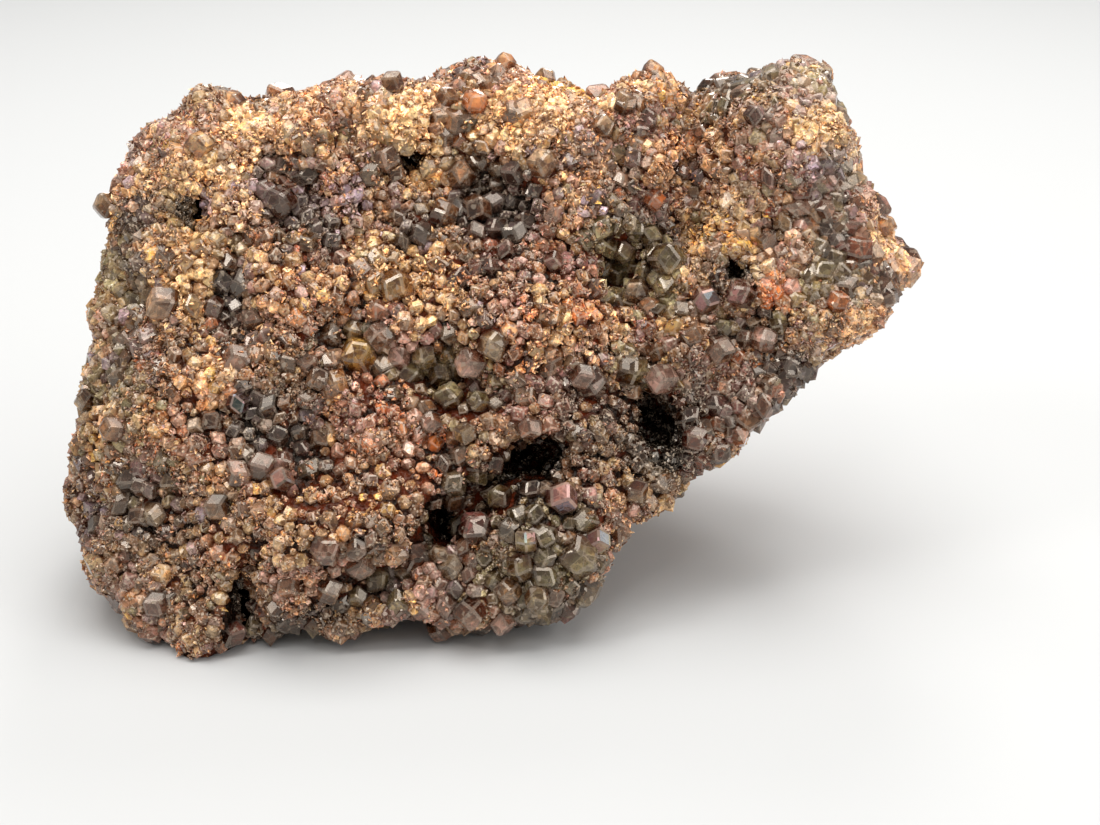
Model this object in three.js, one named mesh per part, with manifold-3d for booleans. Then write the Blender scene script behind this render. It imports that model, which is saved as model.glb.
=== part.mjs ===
// A hand-sized lump of garnet rock, 80 mm long, grown over on every side with small twelve-sided
// garnet crystals. It is one piece: a broken block with a shelf, hollows and a few deep pits, and
// its largest crystals standing out of it. Millimetres, +Z up, front towards -Y. The origin is on
// the ground, under the middle of the block.
import * as THREE from "three";
import { ConvexGeometry } from "three/addons/geometries/ConvexGeometry.js";
import { mergeVertices } from "three/addons/utils/BufferGeometryUtils.js";
import Module from "manifold-3d";

const wasm = await Module();
wasm.setup();
const { lerp, smoothstep, clamp, degToRad } = THREE.MathUtils;

// Driving sizes of the block. A curve is a list of stations [place along the length, value].
const leftLength = 40.8; // from the middle to the ends
const rightLength = 39.8;
const cornerPower = 6.5; // 2 is an egg, and a high power is a box
const leftLean = 6.4; // how far the left end's top stands in from its foot
const rightLean = -3.4; // and the right end's
const backDrop = 3.5; // how far the top falls towards the back
const crestZ = [
  [-40, 45.8], [-34, 46.0], [-30, 46.8], [-26, 44.8], [-18, 45.6], [-12, 45.8], [-8, 46.2], [-2, 47.8],
  [4, 45.6], [10, 43.2], [15, 45.0], [19, 43.4], [24, 46.4], [29, 48.2], [33, 48.6], [36, 41.0], [40, 33.0],
];
const soleZ = [
  [-40, 2.0], [-34, 0.0], [-27, -0.5], [-18, 0.5], [-6, 0.8], [2, -0.2], [7, 0.0], [11, 4.4],
  [16, 10.4], [22, 13.8], [30, 20.8], [36, 26.8], [40, 28.8],
];
const frontFootY = [
  [-40, -17], [-34, -22.5], [-24, -24.5], [-8, -24.0], [-4, -22.6], [4, -25], [9, -22], [13, -16],
  [20, -13.5], [28, -12], [40, -6],
];
const frontCrestY = [[-40, 0], [-28, 2], [-10, 4], [4, 4], [18, 5], [32, 4], [40, 2]];
const backCrestY = [[-40, 11], [-24, 18], [0, 21], [20, 19], [40, 10]];
const backFootY = [[-40, 10], [-24, 20], [0, 24], [12, 22], [24, 16], [40, 8]];

// Lumps of the broken surface: [spacing, height], from the size of a thumb down to that of a crystal.
const lumpOctaves = [[17, 1.3], [8.5, 1.2], [3.2, 1.5]];
const lumpStart = new THREE.Vector3(7.3, 3.1, 5.7); // where the lumps' pattern begins

// The front is laid out as it's seen from a little above: places on it are [across, up the view].
const viewTilt = degToRad(24);
const upView = new THREE.Vector3(0, Math.sin(viewTilt), Math.cos(viewTilt));
const intoView = new THREE.Vector3(0, Math.cos(viewTilt), -Math.sin(viewTilt));
const frontEdge = [-0.15, 0.3]; // how much a surface faces the view where the front begins, and is whole
const soleEdge = [0.3, 0.7]; // and how much it faces down where the sole does
const inFront = 100; // farther in front of the middle than any of the block

// The shelf across the lower front. Its rim is a curve of heights, and the rock below it steps back
// by a depth, over the height of the lip, and comes forward again over the height of the drop.
const shelfRim = [
  [-25.5, -1], [-22.5, -3], [-18.5, -4], [-13, -2], [-8.5, 0], [-5, 6], [0.5, 8.5], [2.5, 10.5], [6, 10.5],
];
const shelfDepth = [[-23, 0], [-20, 2.2], [-10, 2.8], [-6, 3.8], [0, 3.8], [4, 3.4], [8, 0]];
const shelfLip = 1.0;
const shelfDrop = 6.5;

// Grooves between lobes: from one place to another, with how wide and deep they are.
const grooves = [
  { from: [19, 46], to: [18, 30], width: 2.0, depth: 3.0 },
  { from: [-22.5, -8], to: [-21.5, 0], width: 1.5, depth: 3.0 },
  { from: [-31, 22], to: [-27, 33], width: 1.8, depth: 1.6 },
];

// Soft hollows and swells: where, half width, half height, and how deep. A swell's depth is below 0.
const hollows = [
  { name: "upper left hollow", at: [-17.5, 32.5], half: [3.2, 3.4], depth: 1.8 },
  { name: "left hollow", at: [-24.0, 22.0], half: [3.4, 3.0], depth: 1.4 },
  { name: "hollow over the shelf", at: [-16.5, 9.5], half: [3.0, 3.6], depth: 1.6 },
  { name: "foot hollow", at: [-29.5, 1.0], half: [3.4, 5.0], depth: 1.8 },
  { name: "middle hollow", at: [-4.5, 16.5], half: [4.6, 2.8], depth: 2.2 },
  { name: "brown crystal hollow", at: [-13.0, 19.5], half: [2.6, 3.4], depth: 1.4 },
  { name: "olive crystal hollow", at: [12.0, 27.0], half: [2.8, 3.4], depth: 3.4 },
  { name: "upper hollow", at: [1.5, 32.5], half: [4.4, 3.0], depth: 1.6 },
  { name: "wing hollow", at: [26.0, 17.5], half: [3.4, 2.6], depth: 1.6 },
  { name: "wing lobe", at: [27.0, 40.0], half: [6.0, 5.0], depth: -1.8 },
  { name: "crest lobe", at: [11.5, 40.5], half: [4.5, 3.5], depth: -1.4 },
  { name: "left lobe", at: [-24.5, 14.0], half: [5.0, 4.5], depth: -1.6 },
  { name: "shelf lobe", at: [-14.0, 3.0], half: [6.5, 4.0], depth: -2.0 },
  { name: "middle lobe", at: [5.0, 23.5], half: [5.5, 4.0], depth: -1.6 },
  { name: "lower right lobe", at: [9.5, 12.5], half: [3.6, 3.0], depth: -1.6 },
  { name: "right lobe", at: [19.0, 19.0], half: [4.0, 4.0], depth: -1.4 },
];

// Deep pits: where, half width, half height, how deep, and how far turned anticlockwise, in degrees.
const pits = [
  { name: "deep pit", at: [15.0, 12.2], half: [1.6, 3.1], depth: 8, turn: 14 },
  { name: "cave under the shelf", at: [3.6, 9.0], half: [3.2, 1.5], depth: 7, turn: 28 },
  { name: "slot beside the cave", at: [-4.8, 3.2], half: [1.0, 2.0], depth: 6, turn: 20 },
  { name: "small pit", at: [22.2, 26.6], half: [1.3, 1.1], depth: 4, turn: 0 },
  { name: "slit by the foot", at: [-22.6, -3.0], half: [0.8, 1.9], depth: 5, turn: 5 },
  { name: "upper slit", at: [-8.0, 37.4], half: [1.2, 0.7], depth: 3, turn: 10 },
  { name: "left pit", at: [-28.0, 32.0], half: [0.9, 1.3], depth: 4, turn: 0 },
];

// Lumps that the block rests on: [x, y], with a radius and how far they stand down.
const feet = [
  { at: [-27.5, -17.0], radius: 6.0, drop: 2.6 },
  { at: [-23.0, 13.0], radius: 6.5, drop: 3.2 },
  { at: [-3.0, -13.0], radius: 5.0, drop: 2.2 },
  { at: [7.0, 14.0], radius: 6.0, drop: 4.4 },
];

// The largest crystals of the front: [across, up, width].
const frontCrystals = [
  [-12, 18.5, 3.2], [-12.5, 21.3, 2], [-10, 20.8, 2.4], [-6.5, 19, 2.2], [-1.5, 18.5, 3], [-5, 17, 2.2],
  [-4, 14.5, 2.6], [-1, 14.5, 2], [-2, 12, 2], [8, 17, 2.4], [3.5, 12.4, 2.2], [6.2, 6, 2.8],
  [7.5, 1, 3.6], [9, 2.2, 2.2], [3.5, 2.5, 2], [3, 0, 2.4], [1.5, -2, 2.4], [-1, 3, 3], [-3.5, 5.4, 2.2],
  [1, 6, 2.2], [-4.5, -5.5, 2.4], [0.5, -4.5, 2.4], [4, -2.5, 2.2], [-6.4, 0.5, 2.8], [12.5, 17.5, 2.8],
  [15.3, 16.6, 3], [11, 26.5, 2.4], [13.5, 24.5, 2.2], [12, 29, 2.2], [22.7, 24.6, 2.6], [19.5, 24, 2.4],
  [24.5, 20.5, 2.4], [27.5, 18, 2], [31, 23.5, 2], [33, 28, 2.8], [-2, 42, 2.4], [-4.5, 42.5, 2.2],
  [-1.5, 32, 2.6], [10, 43, 3.2], [12.2, 41.5, 2], [-5, 31.5, 2.6], [4.5, 36, 2.8], [14.5, 33.5, 2],
  [-22.5, 14.5, 2], [-34, 12, 2.4], [-30, -3.5, 2.4], [-18.5, 7.5, 2.2], [-14.5, 2, 2.6], [18, 11.5, 2.2],
  [-26.5, 37.5, 2.2],
];
const widthPerRadius = 1.6; // how wide a crystal looks, in its own radii, taken over its turns
const crystalDepth = 0.3; // how far a crystal's middle is sunk in the rock, in its own radii

// How finely the block is faceted, and the other large crystals, spread over the whole of it.
const blockDetail = 11;
const spreadCount = 82;
const spreadRadius = [1.2, 2.0];
const pitDetail = 1;
const pitRoughness = 0.2;
const samePoint = 1e-4; // points nearer than this are one
// The ball that the block is made from is drawn out this way, for facets and crystals spread evenly.
const ballStretch = new THREE.Vector3(0.74, 1.18, 1);
// The middle of the finished piece, which the origin is put under.
const boxMiddle = new THREE.Vector3(-0.12, 1.13, 0);

// The value of a curve at a place, straight between its stations.
function along(place, stations) {
  const last = stations.length - 1;
  if (place <= stations[0][0]) return stations[0][1];
  if (place >= stations[last][0]) return stations[last][1];
  const next = stations.findIndex(([x]) => x > place);
  const [x0, y0] = stations[next - 1];
  const [x1, y1] = stations[next];
  return y0 + ((y1 - y0) * (place - x0)) / (x1 - x0);
}

// A number from 0 to 1 that looks random and depends only on the three it is given: the digits far
// down in a sine. The factors only have to be large and unrelated.
const sineFactors = [127.1, 311.7, 74.7];
const digitFactor = 43758.5453;
function chance(i, j, k) {
  const far = digitFactor * Math.sin(i * sineFactors[0] + j * sineFactors[1] + k * sineFactors[2]);
  return far - Math.floor(far);
}

// Smooth noise from -1 to 1: chances on a cubic lattice, eased from one corner to the next.
function latticeNoise({ x, y, z }) {
  const [i, j, k] = [Math.floor(x), Math.floor(y), Math.floor(z)];
  const ease = (t) => t * t * (3 - 2 * t);
  const [u, v, w] = [ease(x - i), ease(y - j), ease(z - k)];
  const edge = (dj, dk) => lerp(chance(i, j + dj, k + dk), chance(i + 1, j + dj, k + dk), u);
  const face = (dk) => lerp(edge(0, dk), edge(1, dk), v);
  return 2 * lerp(face(0), face(1), w) - 1;
}

// How far the surface stands out by its lumps.
function lumps(point) {
  return lumpOctaves.reduce((sum, [spacing, height]) => {
    const place = point.clone().divideScalar(spacing).add(lumpStart);
    return sum + height * latticeNoise(place);
  }, 0);
}

// The bare block: a direction from its middle, made a point on a rounded box, and that box bent
// so that its edges follow the curves. Beside the point, the way it faces, taken as a box does.
function blockPoint(direction) {
  const out = direction.clone().multiply(ballStretch);
  const powers = out.toArray().map((size) => Math.abs(size) ** cornerPower);
  out.divideScalar((powers[0] + powers[1] + powers[2]) ** (1 / cornerPower));
  const place = out.x * (out.x < 0 ? leftLength : rightLength);
  const depth = (out.y + 1) / 2;
  const height = (out.z + 1) / 2;
  const front = lerp(along(place, frontFootY), along(place, frontCrestY), height);
  const back = lerp(along(place, backFootY), along(place, backCrestY), height);
  const top = along(place, crestZ) - backDrop * depth;
  const lean = out.x < 0 ? leftLean : rightLean;
  const point = new THREE.Vector3(
    place + lean * out.x ** 2 * height,
    lerp(front, back, depth),
    lerp(along(place, soleZ), top, height),
  );
  return { point, facing: out.clone().normalize() };
}

// How far the front is set back at a place: under the shelf's rim, along the grooves, in the hollows.
function setBack(across, up) {
  const under = along(across, shelfRim) - up;
  const stepped = smoothstep(under, 0, shelfLip) * (1 - smoothstep(under, shelfLip, shelfDrop));
  let back = along(across, shelfDepth) * stepped;
  for (const { from, to, width, depth } of grooves) {
    const run = [to[0] - from[0], to[1] - from[1]];
    const share = ((across - from[0]) * run[0] + (up - from[1]) * run[1]) / (run[0] ** 2 + run[1] ** 2);
    const held = clamp(share, 0, 1);
    const away = Math.hypot(across - from[0] - run[0] * held, up - from[1] - run[1] * held);
    back += depth * Math.exp(-((away / width) ** 2));
  }
  for (const { at, half, depth } of hollows) {
    back += depth * Math.exp(-(((across - at[0]) / half[0]) ** 2) - ((up - at[1]) / half[1]) ** 2);
  }
  return back;
}

// The block's surface in a direction from its middle, with lumps, shelf, hollows and feet.
function surfacePoint(direction) {
  const { point, facing } = blockPoint(direction);
  const towardsView = -facing.dot(intoView);
  const onFront = smoothstep(towardsView, ...frontEdge);
  const onSole = smoothstep(-facing.z, ...soleEdge);
  const back = onFront * setBack(point.x, point.dot(upView));
  point.addScaledVector(facing, lumps(point));
  point.addScaledVector(intoView, back);
  for (const { at, radius, drop } of feet) {
    const away = Math.hypot(point.x - at[0], point.y - at[1]) / radius;
    point.z -= onSole * drop * Math.exp(-(away ** 4));
  }
  return point;
}

// A closed geometry as a solid that can be joined and cut.
function solidOf(geometry) {
  const bare = new THREE.BufferGeometry().setAttribute("position", geometry.getAttribute("position"));
  if (geometry.index) bare.setIndex(geometry.index);
  const merged = mergeVertices(bare, samePoint);
  const vertProperties = merged.attributes.position.array;
  const triVerts = new Uint32Array(merged.index.array);
  return new wasm.Manifold(new wasm.Mesh({ numProp: 3, vertProperties, triVerts }));
}

// A ball of triangles with each of its points moved.
function movedBall(detail, move) {
  const ball = new THREE.IcosahedronGeometry(1, detail);
  const place = ball.getAttribute("position");
  const direction = new THREE.Vector3();
  for (let i = 0; i < place.count; i++) {
    const { x, y, z } = move(direction.fromBufferAttribute(place, i).normalize());
    place.setXYZ(i, x, y, z);
  }
  return ball;
}

// One garnet crystal, a rhombic dodecahedron: the corners of a cube and the tips of an octahedron.
function dodecahedron(radius) {
  const half = radius / 2;
  const corners = [];
  for (const x of [-half, half]) {
    for (const y of [-half, half]) {
      for (const z of [-half, half]) corners.push(new THREE.Vector3(x, y, z));
    }
  }
  for (const tip of [-radius, radius]) {
    corners.push(new THREE.Vector3(tip, 0, 0), new THREE.Vector3(0, tip, 0), new THREE.Vector3(0, 0, tip));
  }
  return new ConvexGeometry(corners);
}

// A crystal as a solid, turned its own way by its number.
function crystalAt(seat, radius, number) {
  const turn = new THREE.Euler(...[2, 3, 4].map((k) => chance(number, k, 0) * Math.PI * 2));
  const shape = dodecahedron(radius);
  shape.applyMatrix4(new THREE.Matrix4().makeRotationFromEuler(turn));
  return solidOf(shape.translate(seat.x, seat.y, seat.z));
}

// The direction of one of a number of places spread evenly over a ball.
function spreadDirection(index, count) {
  const height = 1 - (2 * index + 1) / count;
  const turn = index * Math.PI * (3 - Math.sqrt(5));
  const ring = Math.sqrt(1 - height * height);
  return new THREE.Vector3(ring * Math.cos(turn), ring * Math.sin(turn), height);
}

const bareBlock = movedBall(blockDetail, surfacePoint);
const bareMesh = new THREE.Mesh(bareBlock);

// The place on the block that is met when looking straight into the front.
function seatOnFront(across, up) {
  const start = new THREE.Vector3(across, 0, 0).addScaledVector(upView, up);
  start.addScaledVector(intoView, -inFront);
  return new THREE.Raycaster(start, intoView).intersectObject(bareMesh)[0].point;
}

// The large crystals of the front, and those spread over the whole block.
function crystals() {
  const front = frontCrystals.map(([across, up, width], index) => {
    const radius = width / widthPerRadius;
    const seat = seatOnFront(across, up).addScaledVector(intoView, crystalDepth * radius);
    return crystalAt(seat, radius, index);
  });
  const spread = Array.from({ length: spreadCount }, (_, index) => {
    const number = frontCrystals.length + index;
    const radius = lerp(...spreadRadius, chance(number, 1, 0) ** 2);
    const direction = spreadDirection(index, spreadCount);
    const seat = surfacePoint(direction).addScaledVector(direction, -crystalDepth * radius);
    return crystalAt(seat, radius, number);
  });
  return [...front, ...spread];
}

// A deep pit as a solid to cut out: a rough lump, long into the rock.
function pit({ at, half, depth, turn }) {
  const middle = seatOnFront(...at);
  const aside = new THREE.Vector3(1, 0, 0).applyAxisAngle(intoView, -degToRad(turn));
  const above = upView.clone().applyAxisAngle(intoView, -degToRad(turn));
  const shape = movedBall(pitDetail, (direction) => {
    const rough = 1 + pitRoughness * latticeNoise(direction.clone().multiplyScalar(2).add(middle));
    return middle
      .clone()
      .addScaledVector(aside, direction.x * half[0] * rough)
      .addScaledVector(above, direction.y * half[1] * rough)
      .addScaledVector(intoView, -direction.z * depth * rough);
  });
  return solidOf(shape);
}

// The ground, which the feet are worn flat on.
function ground() {
  const [size, thick] = [200, 40];
  return solidOf(new THREE.BoxGeometry(size, size, thick).translate(0, 0, -thick / 2));
}

// A solid as a three.js geometry whose faces share no normals, so that each is seen as flat.
function geometryOf(solid) {
  const { vertProperties, triVerts } = solid.getMesh();
  const shared = new THREE.BufferGeometry();
  shared.setAttribute("position", new THREE.BufferAttribute(vertProperties, 3));
  shared.setIndex(new THREE.BufferAttribute(triVerts, 1));
  const geometry = shared.toNonIndexed();
  geometry.computeVertexNormals();
  return geometry;
}

const grown = crystals().reduce((whole, crystal) => whole.add(crystal), solidOf(bareBlock));
const pitted = pits.map(pit).reduce((whole, hole) => whole.subtract(hole), grown);
const stone = pitted.subtract(ground()).translate(boxMiddle.clone().negate().toArray());

const garnet = new THREE.MeshStandardMaterial({ color: 0x7a5a48, roughness: 0.45, metalness: 0 });
const cluster = new THREE.Mesh(geometryOf(stone), garnet);
cluster.name = "garnet_cluster";

const part = new THREE.Group();
part.add(cluster);

export default part;
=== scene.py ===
# %% [markdown]
# # A lump of rainbow garnet
# The real thing is a broken piece of rock, about as long as a hand is wide, that garnet has grown over
# on every side. It has crystals of many sizes: sugary grains of half a millimetre on all that stands
# proud, twelve-sided crystals of one or two millimetres among them, and a few of three or four, most
# of them in the hollows. Nothing on the real stone is painted. Its colours, from sand and apricot
# through rust and plum to olive and slate, are those of the single crystals, and its sparkle is light
# caught by their flat faces. So this lesson makes crystals, all at once as whole arrays, and lets the
# light do most of the rest. Some light and shade is painted into the crystals' colours as well:
# painted shade in recesses, in pits, towards the bottom and at the crystals' roots, and painted
# highlights and glints on edges, cracks and chips.

# %% Load the imported part
import math

import bpy
import numpy as np
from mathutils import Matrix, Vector


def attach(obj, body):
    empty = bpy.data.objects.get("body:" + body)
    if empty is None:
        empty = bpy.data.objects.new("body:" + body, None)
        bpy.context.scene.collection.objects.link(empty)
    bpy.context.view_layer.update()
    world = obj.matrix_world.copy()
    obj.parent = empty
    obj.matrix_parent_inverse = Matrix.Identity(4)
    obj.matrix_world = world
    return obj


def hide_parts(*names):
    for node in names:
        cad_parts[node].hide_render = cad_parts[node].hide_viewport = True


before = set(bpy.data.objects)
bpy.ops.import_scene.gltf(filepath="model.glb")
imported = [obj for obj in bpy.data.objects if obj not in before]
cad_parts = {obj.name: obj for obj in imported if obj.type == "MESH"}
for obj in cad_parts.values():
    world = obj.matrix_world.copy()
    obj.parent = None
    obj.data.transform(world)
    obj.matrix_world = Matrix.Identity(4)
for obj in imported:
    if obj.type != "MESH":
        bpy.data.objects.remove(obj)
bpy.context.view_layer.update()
MM = 0.001

# %% [markdown]
# ## Camera, floor and light
# The stone stands on white paper and is seen from a hand's breadth above, so the camera looks down by
# 24 degrees. One large lamp overhead gives the soft shadow. The glints need more: a crystal face is a
# small mirror, and it only flashes if there is something bright and small for it to show. A few small
# bright lamps do that, and the paper is a shade darker than white to make room for them.

# %% Camera
EYE = (5.3 * MM, -151.1 * MM, 82.0 * MM)
LOOKS_DOWN = 24.1  # degrees
SENSOR_WIDTH, LENS = 36.0, 55.6  # millimetres, as cameras have them
camera_data = bpy.data.cameras.new("camera")
camera_data.sensor_fit = "HORIZONTAL"
camera_data.sensor_width = SENSOR_WIDTH
camera_data.lens = LENS
camera_data.clip_start = 5 * MM
camera = bpy.data.objects.new("camera", camera_data)
camera.location = EYE
camera.rotation_euler = (math.radians(90 - LOOKS_DOWN), 0, 0)
bpy.context.scene.collection.objects.link(camera)
bpy.context.scene.camera = camera
print("the camera looks down by", LOOKS_DOWN, "degrees from", tuple(round(c, 3) for c in EYE))


# %% Floor and lamps
STONE_MIDDLE = Vector((0, 0, 25 * MM))
LAMPS = [  # name, place, side, brightness
    ("overhead lamp", (0.00, 0.04, 0.50), 0.50, 3.5),
    ("left lamp", (-0.32, -0.16, 0.36), 0.12, 8.0),
    ("right lamp", (0.40, -0.12, 0.24), 0.30, 2.6),
    ("front lamp", (-0.04, -0.36, 0.46), 0.12, 5.0),
    ("back lamp", (0.04, 0.34, 0.34), 0.14, 9.0),
]
SKY_BRIGHTNESS = 0.42
PAPER_WHITE, PAPER_ROUGHNESS = (0.59, 0.59, 0.58, 1), 0.7
FLOOR_HALF = 2.5


def area_lamp(name, place, size, brightness):
    """A square lamp that faces the stone. Its watts are its area times pi times its brightness, so the
    same brightness looks the same in a crystal's face, whatever the lamp's size."""
    data = bpy.data.lights.new(name, "AREA")
    data.shape = "SQUARE"
    data.size = size
    data.energy = brightness * math.pi * size ** 2
    lamp = bpy.data.objects.new(name, data)
    lamp.location = place
    lamp.rotation_euler = (STONE_MIDDLE - Vector(place)).to_track_quat("-Z", "Y").to_euler()
    bpy.context.scene.collection.objects.link(lamp)


for row in LAMPS:
    area_lamp(*row)

world = bpy.data.worlds.new("white sky")
world.use_nodes = True
world.node_tree.nodes["Background"].inputs["Color"].default_value = (1, 1, 1, 1)
world.node_tree.nodes["Background"].inputs["Strength"].default_value = SKY_BRIGHTNESS
bpy.context.scene.world = world
bpy.context.scene.view_settings.view_transform = "Standard"

floor_corners = [(x * FLOOR_HALF, y * FLOOR_HALF, 0) for x, y in ((-1, -1), (1, -1), (1, 1), (-1, 1))]
floor_mesh = bpy.data.meshes.new("floor")
floor_mesh.from_pydata(floor_corners, [], [(0, 1, 2, 3)])
floor = bpy.data.objects.new("floor", floor_mesh)
bpy.context.scene.collection.objects.link(floor)
paper = bpy.data.materials.new("white paper")
paper.use_nodes = True
paper_shader = paper.node_tree.nodes["Principled BSDF"]
paper_shader.inputs["Base Color"].default_value = PAPER_WHITE
paper_shader.inputs["Roughness"].default_value = PAPER_ROUGHNESS
floor_mesh.materials.append(paper)
print("floor and", len(LAMPS), "lamps are in place")

# %% [markdown]
# ## The shape of the rock
# The stone's form could be sculpted by hand, but here it is a formula, so that it can be read and
# changed. A box with rounded corners is bent until its edges follow curves along the length: the
# crest, the sole, and the feet and crests of front and back. Lumps of three sizes are laid on it.
# The front then gets what the eye knows it by: a shelf with a dark recess under its rim, grooves,
# hollows, lobes and deep pits. Places on the front are given as they are seen, [across, up the view],
# in millimetres.

# %% Sizes of the block
LEFT_LENGTH, RIGHT_LENGTH = 40.8, 39.8
CORNER_POWER = 6.5
LEFT_LEAN, RIGHT_LEAN = 6.4, -3.4
BACK_DROP = 3.5
CREST_Z = [
    (-40, 45.8), (-34, 46.0), (-30, 46.8), (-26, 44.8), (-18, 45.6), (-12, 45.8), (-8, 46.2), (-2, 47.8),
    (4, 45.6), (10, 43.2), (15, 45.0), (19, 43.4), (24, 46.4), (29, 48.2), (33, 48.6), (36, 41.0),
    (40, 33.0),
]
SOLE_Z = [
    (-40, 2.0), (-34, 0.0), (-27, -0.5), (-18, 0.5), (-6, 0.8), (2, -0.2), (7, 0.0), (11, 4.4),
    (16, 10.4), (22, 13.8), (30, 20.8), (36, 26.8), (40, 28.8),
]
FRONT_FOOT_Y = [
    (-40, -17), (-34, -22.5), (-24, -24.5), (-8, -24.0), (-4, -22.6), (4, -25), (9, -22), (13, -16),
    (20, -13.5), (28, -12), (40, -6),
]
FRONT_CREST_Y = [(-40, 0), (-28, 2), (-10, 4), (4, 4), (18, 5), (32, 4), (40, 2)]
BACK_CREST_Y = [(-40, 11), (-24, 18), (0, 21), (20, 19), (40, 10)]
BACK_FOOT_Y = [(-40, 10), (-24, 20), (0, 24), (12, 22), (24, 16), (40, 8)]
LUMPS = [(17, 1.3), (8.5, 1.2), (3.2, 1.5)]
LUMP_START = np.array([7.3, 3.1, 5.7])
BOX_MIDDLE = np.array([-0.12, 1.13, 0.0])
SKIN = 1.0

# %% What the front is known by
VIEW_TILT = math.radians(24)
FRONT_FADE, SOLE_FADE = (-0.15, 0.3), (0.3, 0.7)  # cosines between which front and sole begin
SEEN_FADE = (-0.2, 0.2)  # and between which a surface is seen from the front
UP_VIEW = np.array([0, math.sin(VIEW_TILT), math.cos(VIEW_TILT)])
INTO_VIEW = np.array([0, math.cos(VIEW_TILT), -math.sin(VIEW_TILT)])
SHELF_RIM = [
    (-25.5, -1), (-22.5, -3), (-18.5, -4), (-13, -2), (-8.5, 0), (-5, 6), (0.5, 8.5), (2.5, 10.5),
    (6, 10.5),
]
SHELF_DEPTH = [(-23, 0), (-20, 2.2), (-10, 2.8), (-6, 3.8), (0, 3.8), (4, 3.4), (8, 0)]
SHELF_LIP, SHELF_DROP = 1.0, 6.5
GROOVES = [  # from, to, width, depth
    ((19, 46), (18, 30), 2.0, 3.0),
    ((-22.5, -8), (-21.5, 0), 1.5, 3.0),
    ((-31, 22), (-27, 33), 1.8, 1.6),
]
HOLLOWS = [  # at, half size, depth; a lobe's depth is below 0
    ((-17.5, 32.5), (3.2, 3.4), 1.8), ((-24.0, 22.0), (3.4, 3.0), 1.4), ((-16.5, 9.5), (3.0, 3.6), 1.6),
    ((-29.5, 1.0), (3.4, 5.0), 1.8), ((-4.5, 16.5), (4.6, 2.8), 2.2), ((-13.0, 19.5), (2.6, 3.4), 1.4),
    ((12.0, 27.0), (2.8, 3.4), 3.4), ((1.5, 32.5), (4.4, 3.0), 1.6), ((26.0, 17.5), (3.4, 2.6), 1.6),
    ((27.0, 40.0), (6.0, 5.0), -1.8), ((11.5, 40.5), (4.5, 3.5), -1.4), ((-24.5, 14.0), (5.0, 4.5), -1.6),
    ((-14.0, 3.0), (6.5, 4.0), -2.0), ((5.0, 23.5), (5.5, 4.0), -1.6), ((9.5, 12.5), (3.6, 3.0), -1.6),
    ((19.0, 19.0), (4.0, 4.0), -1.4),
]
PITS = [  # at, half size, depth, turn in degrees
    ((15.4, 11.6), (1.8, 3.1), 8, 14), ((3.6, 9.0), (3.2, 1.5), 7, 28), ((-4.8, 3.2), (1.0, 2.0), 6, 20),
    ((22.2, 26.6), (1.3, 1.1), 4, 0), ((-22.6, -3.0), (0.8, 1.9), 5, 5), ((-8.0, 37.4), (1.2, 0.7), 3, 10),
    ((-28.0, 32.0), (0.9, 1.3), 4, 0),
]
FEET = [  # at, radius, how far down it stands
    ((-27.5, -17.0), 6.0, 2.6), ((-23.0, 13.0), 6.5, 3.2),
    ((-3.0, -13.0), 5.0, 2.2), ((7.0, 14.0), 6.0, 4.4),
]


# %% Helpers for curves and noise
def along(place, stations):
    """The value of a curve of (place, value) stations, straight between them."""
    x, value = np.array(stations, float).T
    return np.interp(place, x, value)


def smooth_step(x, low, high):
    """0 below low, 1 above high, and an S between: t squared times (3 - 2 t)."""
    t = np.clip((x - low) / (high - low), 0, 1)
    return t * t * (3 - 2 * t)


def chance(i, j, k):
    """A number from 0 to 1 that looks random: the digits far down in a sine of the three numbers."""
    far = 43758.5453 * np.sin(i * 127.1 + j * 311.7 + k * 74.7)
    return far - np.floor(far)


def lattice_noise(points):
    """Smooth noise from -1 to 1: chances on a cubic lattice, eased from one corner to the next. Points
    divided by a spacing give coarser noise, and points with a number added give another noise."""
    corner = np.floor(points)
    i, j, k = corner.T
    u, v, w = smooth_step(points - corner, 0, 1).T
    total = 0
    for di, wi in ((0, 1 - u), (1, u)):
        for dj, wj in ((0, 1 - v), (1, v)):
            for dk, wk in ((0, 1 - w), (1, w)):
                total = total + wi * wj * wk * chance(i + di, j + dj, k + dk)
    return 2 * total - 1


def seen(ways):
    """How far surfaces that face these ways are seen in the view, from 0 to 1."""
    return smooth_step(-(ways @ INTO_VIEW), *SEEN_FADE)


# %% The surface as a function of a direction
def set_back(across, up):
    """How far the front is set back at a place: a step down under the shelf's rim that comes forward
    again lower down, bell-shaped troughs along the grooves, and bell-shaped hollows."""
    under = along(across, SHELF_RIM) - up
    stepped = smooth_step(under, 0, SHELF_LIP) * (1 - smooth_step(under, SHELF_LIP, SHELF_DROP))
    back = along(across, SHELF_DEPTH) * stepped
    for start, end, width, depth in GROOVES:
        run = np.subtract(end, start)
        share = ((across - start[0]) * run[0] + (up - start[1]) * run[1]) / (run @ run)
        held = np.clip(share, 0, 1)
        away = np.hypot(across - start[0] - run[0] * held, up - start[1] - run[1] * held)
        back = back + depth * np.exp(-((away / width) ** 2))
    for at, size, depth in HOLLOWS:
        back = back + depth * np.exp(-(((across - at[0]) / size[0]) ** 2) - ((up - at[1]) / size[1]) ** 2)
    return back


def pit_depth(across, up):
    """How deep the pits go at a place: a flat-bottomed bell with steep walls, e to the minus (distance
    in half sizes) to the sixth power."""
    deep = np.zeros_like(across)
    for at, size, depth, turn in PITS:
        angle = math.radians(turn)
        x = (across - at[0]) * math.cos(angle) + (up - at[1]) * math.sin(angle)
        z = (up - at[1]) * math.cos(angle) - (across - at[0]) * math.sin(angle)
        deep = deep + depth * np.exp(-((np.hypot(x / size[0], z / size[1])) ** 6))
    return deep


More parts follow.
